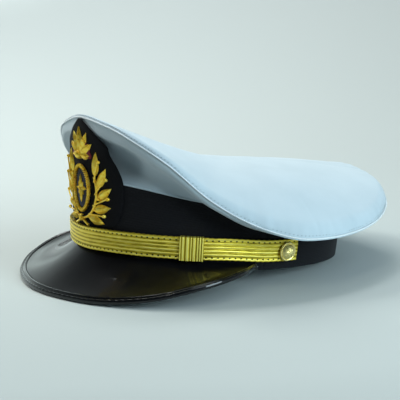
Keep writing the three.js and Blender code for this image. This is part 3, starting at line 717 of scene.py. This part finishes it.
def peak():
    inner, edge, along, above, rim_width = peak_at(PEAK_BEARINGS)
    outer = edge - along * (rim_width + GAP)[:, None]
    width = np.linalg.norm(outer - inner, axis=-1)
    share = np.linspace(1, 0, 21)[None, :, None]
    sag = PEAK_SAG * width[:, None, None] * 4 * share * (1 - share) / (PEAK_EDGE["reach"][0] - RIM_WIDTH)
    line = inner[:, None] * (1 - share) + outer[:, None] * share - above[:, None] * sag
    rings = sheet_rings(line, PEAK_THICKNESS)
    rings[:, line.shape[1]] = inner - (0, PEAK_THICKNESS)
    points = cap_point(PEAK_BEARINGS[:, None], rings[..., 0], rings[..., 1])
    made = loft("peak_plate", points, PATENT)
    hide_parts("peak")


def rim_profile():
    """The rim's section as shares of its width and heights: two round ridges with a groove between them."""
    share = np.linspace(0, 0.92, 24)
    ridges = np.abs(np.sin(math.pi * share / 0.46)) ** 0.7
    top = np.stack([share, RIM_GROOVE + (RIM_RIDGE - RIM_GROOVE) * ridges], -1)
    under = np.array([(0.97, -0.4), (1, RIM_EDGE), (0.97, -1.7), (0.85, RIM_UNDERSIDE), (0.4, RIM_UNDERSIDE)])
    return np.concatenate([[(0, RIM_UNDERSIDE)], top, under])


def peak_rim():
    _, edge, along, above, rim_width = peak_at(PEAK_BEARINGS)
    profile = rim_profile()
    offset = ((profile[None, :, 0] - 1) * rim_width[:, None])[..., None]
    outer_ridge = np.exp(-(((profile[:, 0] - 0.69) / 0.13) ** 2)) * (profile[:, 1] > 0)
    notch = 0.1 * outer_ridge[None] * np.sin(math.tau * PEAK_BEARINGS / 2.1)[:, None]
    rings = edge[:, None] + along[:, None] * offset + above[:, None] * (profile[None, :, 1] + notch)[..., None]
    points = cap_point(PEAK_BEARINGS[:, None], rings[..., 0], rings[..., 1])
    made = loft("peak_binding", points, PATENT_BINDING)
    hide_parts("peak_rim")


peak()
peak_rim()


# Chin strap


STITCH_PITCH = 2.3
STITCH_ROW = 5.9


def strap_face(v):
    """The height of the lace's ribs and edge cords across the strap."""
    ribs = sum(np.exp(-(((v - rib) / 0.5) ** 2)) for rib in STRAP_RIBS)
    ribs = ribs + 0.5 * sum(np.exp(-(((v - rib) / 0.4) ** 2)) for rib in (-2.6, 0, 2.6))
    cords = sum(np.exp(-(((v - side * 7.1) / 0.5) ** 2)) for side in (-1, 1))
    return STRAP_THICKNESS + STRAP_RIB * 1.2 * ribs + 0.3 * cords


def strap_drop(bearing):
    """How far the strap dips: a little over the peak's middle, and more towards the buttons."""
    t = np.clip((np.abs(bearing) - 64) / 24, 0, 1)
    return 1.2 * np.exp(-((bearing / 16) ** 2)) + 2.0 * t * t * (3 - 2 * t)


def strap(name, node, start, end, standoff_at):
    """A length of lace with ribs along it and scalloped edges."""
    bearings = np.linspace(start, end, int((end - start) * 4) + 1)
    standoff = standoff_at(bearings)[:, None]
    face_v = np.linspace(-1, 1, 57) * STRAP_WIDTH / 2
    back_v = np.linspace(1, -1, 9) * STRAP_WIDTH / 2
    v = np.concatenate([face_v, back_v])
    lift = np.concatenate([strap_face(face_v), np.zeros(len(back_v))])
    scallop = 0.12 * np.cos(math.tau * bearings / STITCH_PITCH)[:, None]
    height = STRAP_HEIGHT - strap_drop(bearings)[:, None] + v + scallop * np.sign(v) * np.clip((np.abs(v) - 6.6) / 1.1, 0, 1)
    points = cap_point(bearings[:, None], band_face(height) + standoff + lift, height)
    # Texture places across run in millimetres, so the gold lace's colour wave, one rib pitch long, puts painted
    # highlight on the ribs and painted shade between them.
    lay = (lay_round(points[:, len(face_v) // 2]), np.append(v, v[0]))
    made = loft(name, points, GOLD_LACE, lay=lay)
    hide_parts(node)


KEEPER_END = KEEPER_BEARING + KEEPER_HALF + KEEPER_CLEAR


def outer_standoff(bearing):
    t = np.clip((bearing - STRAP_TUCK[0]) / (STRAP_TUCK[1] - STRAP_TUCK[0]), 0, 1)
    lowered = t * t * (3 - 2 * t)
    return STRAP_OUTER + (STRAP_INNER - STRAP_OUTER) * lowered


def inner_standoff(bearing):
    return np.full(len(bearing), STRAP_INNER)


def strap_stitches(name, start, end, standoff_at):
    """Two rows of small dark stitches along the strap's edges."""
    parts = []
    first = math.ceil((start + 1) / STITCH_PITCH) * STITCH_PITCH
    for v in (-STITCH_ROW, STITCH_ROW):
        for bearing in np.arange(first, end - 1, STITCH_PITCH):
            spots = np.array([bearing - 0.2, bearing, bearing + 0.2])
            height = STRAP_HEIGHT - strap_drop(bearing) + v
            reach = band_face(height) + standoff_at(spots) + strap_face(v)
            path = cap_point(spots, reach, height)
            out = path[1] * (1, 1, 0)
            parts.append(grain_rings(path[1], path[2] - path[0], out, 1.4, 1.1, 0.15))
    made = gathered(name, parts, LACE_THREAD)
    return made


def keeper(name, node, side):
    """A loop round both layers of the strap, with ribs of several widths across it."""
    share = np.linspace(0, 1, 121)
    bearings = side * (KEEPER_BEARING + KEEPER_HALF * (2 * share - 1))
    face = STRAP_OUTER + STRAP_THICKNESS + STRAP_RIB + GAP
    back = STRAP_INNER - GAP
    half = STRAP_WIDTH / 2 + GAP / 3
    off = (share[:, None] - KEEPER_RIBS["at"]) / KEEPER_RIBS["half"]
    ribs = (KEEPER_RIBS["rise"] * np.sqrt(np.maximum(0, 1 - off ** 2))).max(1)
    out = face + KEEPER_WALL + ribs

    def loop(low_in, low_out, tall):
        corners = [(low_in, -tall), (low_out, -tall), (low_out, tall), (low_in, tall)]
        t = np.linspace(0, 1, 12, endpoint=False)
        sides = [np.outer(1 - t, corners[k]) + np.outer(t, corners[(k + 1) % 4]) for k in range(4)]
        return np.concatenate(sides)

    outer = np.stack([loop(back - KEEPER_WALL, o, half + KEEPER_WALL / 2) for o in out])
    inner = np.stack([loop(back, face, half) for _ in out])
    rings = np.concatenate([outer, inner[::-1]])
    height = STRAP_HEIGHT + rings[..., 1]
    at = np.concatenate([bearings, bearings[::-1]])
    points = cap_point(at[:, None], band_face(height) + rings[..., 0], height)
    # Texture places across the keeper count its ribs, one unit each, so the gold cord's colour paints each rib lighter
    # as painted highlight and each valley darker as painted shade.
    valleys = np.concatenate([[0], (KEEPER_RIBS["at"] + KEEPER_RIBS["half"])])
    rib = np.interp(share, valleys, np.arange(len(valleys)))
    lay = (np.concatenate([rib, rib[::-1], rib[:1]]), np.linspace(0, 60, points.shape[1] + 1))
    made = loft(name, points, GOLD_CORD, closed=True, lay=lay, turned=True)
    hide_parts(node)


def button(name, node, side):
    """A domed button with a raised edge and a rosette on the dome."""
    angle = np.linspace(0, math.tau, 72, endpoint=False)
    profile = np.array([
        (0.02, 0), (0.88, 0), (0.97, 0.3), (1, 0.6), (1, 1.3), (0.97, 1.6), (0.92, 1.75), (0.87, 1.65), (0.82, 1.4),
        (0.8, 1.7), (0.74, 2.3), (0.66, 2.9), (0.57, 3.4), (0.48, 3.75), (0.39, 4.0), (0.3, 4.2), (0.24, 4.3),
        (0.18, 4.38), (0.12, 4.42), (0.06, 4.45), (0.01, 4.45),
    ])
    radius, height = profile[:, :1] * BUTTON_RADIUS * 1.04, profile[:, 1:]
    petals = np.exp(-(((profile[:, :1] - 0.5) / 0.2) ** 2)) * (height > 1.5)
    height = height + 0.28 * petals * np.cos(8 * angle)[None]
    local = np.stack(np.broadcast_arrays(radius * np.cos(angle), radius * np.sin(angle), height), -1)
    reach = band_face(STRAP_HEIGHT) + STRAP_INNER + STRAP_THICKNESS + STRAP_RIB + GAP
    bearing = side * (BUTTON_BEARING - 1.0)
    place = cap_point(bearing, reach, STRAP_HEIGHT - BUTTON_DROP - strap_drop(bearing) / 2)
    turn = math.radians(bearing)
    out = np.array([math.sin(turn) / HALF_WIDTH, -math.cos(turn) / HALF_LENGTH, 0])
    out = out / np.linalg.norm(out) - (0, 0, BAND_FLARE)
    out /= np.linalg.norm(out)
    across = np.cross((0, 0, 1), out)
    across /= np.linalg.norm(across)
    points = place + local @ np.stack([across, np.cross(out, across), out])
    made = loft(name, points, GILT)
    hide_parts(node)


strap("strap_inner_lace", "strap_inner", -STRAP_END, KEEPER_END, inner_standoff)
strap("strap_outer_lace", "strap_outer", -KEEPER_END, STRAP_END, outer_standoff)
strap_stitches("strap_outer_stitches", -KEEPER_END, STRAP_END, outer_standoff)
strap_stitches("strap_inner_stitches", -STRAP_END, -KEEPER_END, inner_standoff)
for side, hand in ((1, "left"), (-1, "right")):
    keeper(f"keeper_{hand}_loop", f"keeper_{hand}", side)
    button(f"button_{hand}_dome", f"button_{hand}", side)


# Badge


def patch():
    height = np.linspace(PATCH_ROWS["height"][0], PATCH_ROWS["height"][-1], 60)
    half = np.interp(height, PATCH_ROWS["height"], PATCH_ROWS["half_width"])
    half = smooth_lines(half[None], 4)[0]
    t = np.clip((height - 79) / 10, 0, 1)
    half = half * (1 - 0.3 * t * t * (3 - 2 * t))
    share = np.linspace(-1, 1, 41)
    swell = (1 - np.abs(share) ** 12) ** 0.5
    front = front_point(share * half[:, None], height[:, None], PATCH_THICKNESS * (0.35 + 0.65 * swell)[None])
    back = front_point(share * half[:, None], height[:, None], 0)[:, ::-1]
    made = loft("badge_patch_felt", np.concatenate([front, back], axis=1), BLACK_FELT)
    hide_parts("badge_patch")


def oval_loop(half_width, half_height, sides):
    angle = np.linspace(0, math.tau, sides, endpoint=False)
    return half_width * np.cos(angle), half_height * np.sin(angle)


def medallion():
    layers = ((1, 0), (1, 0.4), (0.96, 0.85), (0.9, 1), (0.6, 1), (0.3, 1), (0.02, 1))
    rings = []
    for scale, lift in layers:
        across, up = oval_loop(MEDALLION_HALF_WIDTH * scale, MEDALLION_HALF_HEIGHT * scale, 72)
        rings.append(front_point(across, MEDALLION_UP + up, BADGE_BACK + lift))
    made = loft("badge_medallion_felt", np.stack(rings), NAVY_FELT)
    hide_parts("badge_medallion")


def cord_ring():
    """Three strands twisted round each other, laid round the medallion."""
    twist, strand_radius, reach = 18, 0.6, 0.9
    centre = strand_radius + reach + GAP
    turn = np.linspace(0, math.tau, 240, endpoint=False)
    points, faces, sides = [], [], 8
    angle = np.linspace(0, math.tau, sides, endpoint=False)
    for strand in range(3):
        phase = twist * turn + strand * math.tau / 3
        r = reach * np.cos(phase)[:, None] + strand_radius * np.cos(angle)[None]
        lift = reach * np.sin(phase)[:, None] + strand_radius * np.sin(angle)[None]
        across = (MEDALLION_HALF_WIDTH + centre + r) * np.cos(turn)[:, None]
        up = MEDALLION_UP + (MEDALLION_HALF_HEIGHT + centre + r) * np.sin(turn)[:, None]
        rings = front_point(across, up, BADGE_BACK + strand_radius + reach + lift)
        corner = loft_faces(len(turn), sides, True)
        start = len(points) * len(turn) * sides
        faces.extend((start + (corner[..., 0] % len(turn)) * sides + corner[..., 1] % sides).tolist())
        points.append(rings.reshape(-1, 3))
    made = piece("badge_ring_cord", np.concatenate(points), faces, GOLD_WIRE)
    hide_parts("badge_ring")


def leaf_rings(base, angle, length, width, rise, lift=0.0, steps=64, columns=25):
    """A pointed leaf with a raised midrib and slanting coils of wire, from its base along an angle."""
    heading = math.radians(angle)
    along = np.array([math.cos(heading), math.sin(heading)])
    across = np.array([-along[1], along[0]])
    share = np.linspace(0, 1, steps)[:, None]
    t = np.linspace(-1, 1, columns)[None]
    swell = np.maximum(0.06, np.sin(math.pi * share ** 0.8))
    half = width / 2 * swell
    dome = rise * swell ** 0.6 * (1 - np.abs(t) ** 1.7)
    coil = np.sin(math.tau * (length * share - 0.9 * np.abs(t) * half) / 1.1)
    top = dome + 0.14 * coil * (1 - t ** 2) * np.minimum(1, swell * 2)
    top = top + 0.3 * np.exp(-((t * half / 0.4) ** 2)) * np.minimum(1, swell * 2)
    flat = np.asarray(base) + (length * share)[..., None] * along + (t * half)[..., None] * across
    front = front_point(flat[..., 0], flat[..., 1], BADGE_BACK + lift + np.maximum(top, 0.02))
    back = front_point(flat[..., 0], flat[..., 1], np.full_like(top, BADGE_BACK + lift))[:, ::-1]
    return np.concatenate([front, back], axis=1)


def bead_rings(across, up, out, radius, steps=9, sides=14):
    at = -np.cos(np.linspace(0.1, math.pi - 0.1, steps))[:, None] * radius
    angle = np.linspace(0, math.tau, sides, endpoint=False)[None]
    round_at = np.sqrt(np.maximum(radius ** 2 - at ** 2, 0))
    return front_point(across + round_at * np.cos(angle), up + round_at * np.sin(angle), out + at)


def star():
    foot = MEDALLION_THICKNESS + GAP
    parts = []
    for k in range(8):
        angle = math.radians(45 * k)
        tip = STAR_LONG if k % 2 == 0 else STAR_SHORT
        reach = np.array([tip * math.cos(angle), STAR_STRETCH * tip * math.sin(angle)])
        heading = math.degrees(math.atan2(reach[1], reach[0]))
        parts.append(leaf_rings((0, MEDALLION_UP), heading, np.linalg.norm(reach), 3.0, 1.0, foot, 32, 13))
    parts.append(bead_rings(0, MEDALLION_UP, BADGE_BACK + foot + 0.9, 1.2))
    made = gathered("badge_star_wire", parts, GOLD_WIRE)
    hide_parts("badge_star")


def palmette():
    parts = []
    for turn, length, width in zip(*PALMETTE_PETALS.values()):
        for side in (1,) if turn == 0 else (1, -1):
            parts.append(leaf_rings((0, PALMETTE_UP), 90 + side * turn, length, width, LEAF_RISE))
    parts.append(bead_rings(0, PALMETTE_UP, BADGE_BACK + 1.5, PALMETTE_HEART * 0.9))
    made = gathered("badge_palmette_wire", parts, GOLD_WIRE)
    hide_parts("badge_palmette")


def palmette_felt():
    """A red felt fan that shows between the petals."""
    turn = np.radians(np.linspace(-8, 188, 57))
    edge = 13.0 + 0.6 * np.cos(12 * turn)
    share = np.linspace(0.05, 1, 8)
    across = share[:, None] * edge * np.cos(turn)
    up = PALMETTE_UP + share[:, None] * edge * np.sin(turn)
    front = front_point(across, up, BADGE_BACK + 0.75 * np.sqrt(1 - 0.8 * share ** 6)[:, None])
    back = front_point(across, up, np.full_like(up, BADGE_BACK - 0.2))[:, ::-1]
    rings = np.concatenate([front, back], axis=1)
    return loft("badge_palmette_felt", rings, RED_FELT)


def stem_point(side, turn):
    across = side * SPRAY_HALF_WIDTH * np.cos(np.radians(turn))
    return np.stack([across, MEDALLION_UP + SPRAY_HALF_HEIGHT * np.sin(np.radians(turn))], -1)


BERRY_TURNS = (-54.0, -30.5, -7.0, 16.5)


def flat_tube(line, lift, radius):
    """A wire over the badge through some flat points."""
    path = front_point(line[:, 0], line[:, 1], BADGE_BACK + lift)
    return tube_rings(path, radius, 8, up=(0, -1, 0.2))


def berry_parts(side, turn):
    """A berry on a thin stalk that leaves the stem between two leaves."""
    start = stem_point(side, turn)
    heading = math.radians(90 - side * (LEAF_SPLAY - turn))
    along = np.array([math.cos(heading), math.sin(heading)])
    line = start + np.linspace(0, 14.5, 9)[:, None] * along
    end = line[-1] + along * 0.8
    return [flat_tube(line, 2.3, 0.5), bead_rings(end[0], end[1], BADGE_BACK + 1.9, 1.3)]


def knot_parts(side):
    """The stem's end, which crosses its fellow under the medallion, and one turn of the tie."""
    first = stem_point(side, SPRAY_FROM)
    last = np.array([-side * 8.0, MEDALLION_UP - SPRAY_HALF_HEIGHT - 4.5])
    line = first + np.linspace(0, 1, 9)[:, None] * (last - first)
    lift = STEM_RADIUS + (0.9 if side > 0 else 0)
    turn = np.linspace(-0.5, math.pi + 0.5, 15)
    tie = np.stack([side * 0.8 + 0 * turn, MEDALLION_UP - SPRAY_HALF_HEIGHT + 0.2 - 2.0 * np.cos(turn)], -1)
    loop = front_point(tie[:, 0], tie[:, 1], BADGE_BACK + 1.6 + 1.5 * np.sin(turn))
    return [flat_tube(line, lift, STEM_RADIUS), tube_rings(loop, 0.6, 8, up=(1, 0, 0))]


def spray(side, hand):
    turns = np.linspace(SPRAY_FROM, SPRAY_TO, 40)
    line = stem_point(side, turns)
    path = front_point(line[:, 0], line[:, 1], BADGE_BACK + STEM_RADIUS)
    parts = [tube_rings(path, STEM_RADIUS, 10, up=(0, -1, 0))]
    for turn in np.linspace(SPRAY_FIRST_LEAF, SPRAY_TO, SPRAY_LEAVES):
        heading = 90 - side * (LEAF_SPLAY - turn)
        parts.append(leaf_rings(stem_point(side, turn), heading, LEAF_LENGTH, LEAF_WIDTH * 0.8, LEAF_RISE))
    for turn in BERRY_TURNS:
        parts.extend(berry_parts(side, turn))
    parts.extend(knot_parts(side))
    made = gathered(f"badge_spray_{hand}_wire", parts, GOLD_WIRE)
    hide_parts(f"badge_spray_{hand}")


patch()
medallion()
cord_ring()
star()
palmette()
palmette_felt()
spray(1, "left")
spray(-1, "right")


# Stage, light and camera


def around(azimuth, elevation, distance):
    """A place round the cap: azimuth 0 is in front of it, 90 at the wearer's left."""
    a, e = math.radians(azimuth), math.radians(elevation)
    return distance * Vector((math.sin(a) * math.cos(e), -math.cos(a) * math.cos(e), math.sin(e)))


def stage_bowl():
    """A pale floor that sweeps up into a round wall, darkened towards the camera's side as painted shade of an unlit
    room.
    """
    floor_radius, sweep, sides = 0.5, 2.1, 96
    angle = np.radians(np.linspace(0, 90, 40))
    radius = np.concatenate([[0.3], floor_radius + sweep * np.sin(angle), [floor_radius + sweep]])
    height = np.concatenate([[0], sweep * (1 - np.cos(angle)), [1.2 * sweep]])
    turn = np.linspace(0, math.tau, sides, endpoint=False)
    rings = np.stack(np.broadcast_arrays(radius[:, None] * np.cos(turn), radius[:, None] * np.sin(turn),
                                         height[:, None]), -1)
    corner = loft_faces(len(radius), sides, False)[: (len(radius) - 1) * sides]
    faces = (corner[..., 0] * sides + corner[..., 1] % sides).tolist()
    mesh = bpy.data.meshes.new("floor")
    mesh.from_pydata(rings.reshape(-1, 3).tolist(), [], [*faces, list(range(sides))])
    mesh.shade_smooth()
    shader = Shader("floor_paper", Roughness=0.9, Specular_IOR_Level=0.2)
    places = shader.add("TexCoord").outputs["Object"]
    cloud = shader.noise(places, 2.0, 2.0)
    # Painted shade: floor and wall grow darker towards the camera's side, where the room is unlit.
    away = shader.add("VectorMath", {0: places, 1: -around(57, 0, 0.5)}, operation="DOT_PRODUCT").outputs["Value"]
    painted_shade_grade = shader.math("ADD", shader.math("ADD", away, 0.5), shader.math("MULTIPLY", cloud, 0.1))
    pale, shade = (0.44, 0.48, 0.48), (0.1, 0.11, 0.11)
    shader.link("Base Color", shader.ramp(painted_shade_grade, (0.2, shade), (0.42, pale)))
    mesh.materials.append(shader.material)
    made = bpy.data.objects.new("floor", mesh)
    bpy.context.scene.collection.objects.link(made)


def area_light(name, place, aim, size, spread, power, colour, mirrored=True):
    """A soft square light. Where it isn't mirrored, glossy surfaces don't show it."""
    light = bpy.data.lights.new(name, "AREA")
    light.size, light.spread, light.energy, light.color = size, math.radians(spread), power, colour
    made = bpy.data.objects.new(name, light)
    made.location = place
    made.visible_camera, made.visible_glossy = False, mirrored
    made.rotation_euler = (Vector(aim) - Vector(place)).to_track_quat("-Z", "Y").to_euler()
    bpy.context.scene.collection.objects.link(made)


def camera():
    azimuth, elevation, distance, roll = math.radians(57.2), math.radians(10.2), 0.85, math.radians(-1.7)
    focal, aim = 1122 / 400 * 36, Vector((0, 0.00259, 0.05))
    back = Vector((math.sin(azimuth) * math.cos(elevation), -math.cos(azimuth) * math.cos(elevation),
                   math.sin(elevation)))
    right = Vector((math.cos(azimuth), math.sin(azimuth), 0))
    up = back.cross(right)
    eye = aim + back * distance
    aim = aim - right * 0.00417 - up * 0.0028
    data = bpy.data.cameras.new("camera")
    data.lens, data.sensor_width = focal, 36
    made = bpy.data.objects.new("camera", data)
    turn = (aim - eye).to_track_quat("-Z", "Y").to_matrix().to_4x4()
    made.matrix_world = Matrix.Translation(eye) @ turn @ Matrix.Rotation(roll, 4, "Z")
    bpy.context.scene.collection.objects.link(made)
    bpy.context.scene.camera = made


stage_bowl()
area_light("overhead", around(57, 88, 1.6), (0, 0, 0.05), 1.2, 140, 3.0, (0.9, 1.0, 0.92))
area_light("right_high", around(96, 42, 1.4), (0, 0, 0.03), 0.8, 140, 2.8, (0.78, 0.9, 1.0))
area_light("right_low", around(110, 16, 1.4), (0, 0, 0.03), 0.7, 140, 9.5, (0.72, 0.92, 1.0))
area_light("right_fill", around(100, 9, 1.4), (0, 0, 0.05), 0.4, 140, 5, (0.66, 0.92, 1.0), mirrored=False)
area_light("front", around(-38, 12, 1.5), (0, 0, 0.08), 0.5, 140, 3.5, (0.98, 1.0, 0.92), mirrored=False)
area_light("left", around(-68, 42, 1.5), (0, 0, 0.08), 0.5, 140, 8.5, (0.98, 1.0, 0.95), mirrored=False)
area_light("spark", around(40, 55, 1.5), (0, 0, 0.03), 0.1, 140, 0.5, (1.0, 1.0, 0.95))
area_light("left_wall", around(-97, 24, 1.45), around(-103, 12, 1.85), 0.4, 90, 2, (0.9, 1.0, 0.96))
area_light("backdrop", around(-108, 60, 2.0), around(-102, 0, 1.8), 0.9, 180, 30, (0.97, 1.0, 0.99))
world_light = bpy.data.worlds.new("studio")
world_light.use_nodes = True
world_light.node_tree.nodes["Background"].inputs["Color"].default_value = (0.85, 0.9, 0.9, 1)
world_light.node_tree.nodes["Background"].inputs["Strength"].default_value = 0.05
bpy.context.scene.world = world_light
bpy.context.scene.view_settings.view_transform = "Standard"
camera()
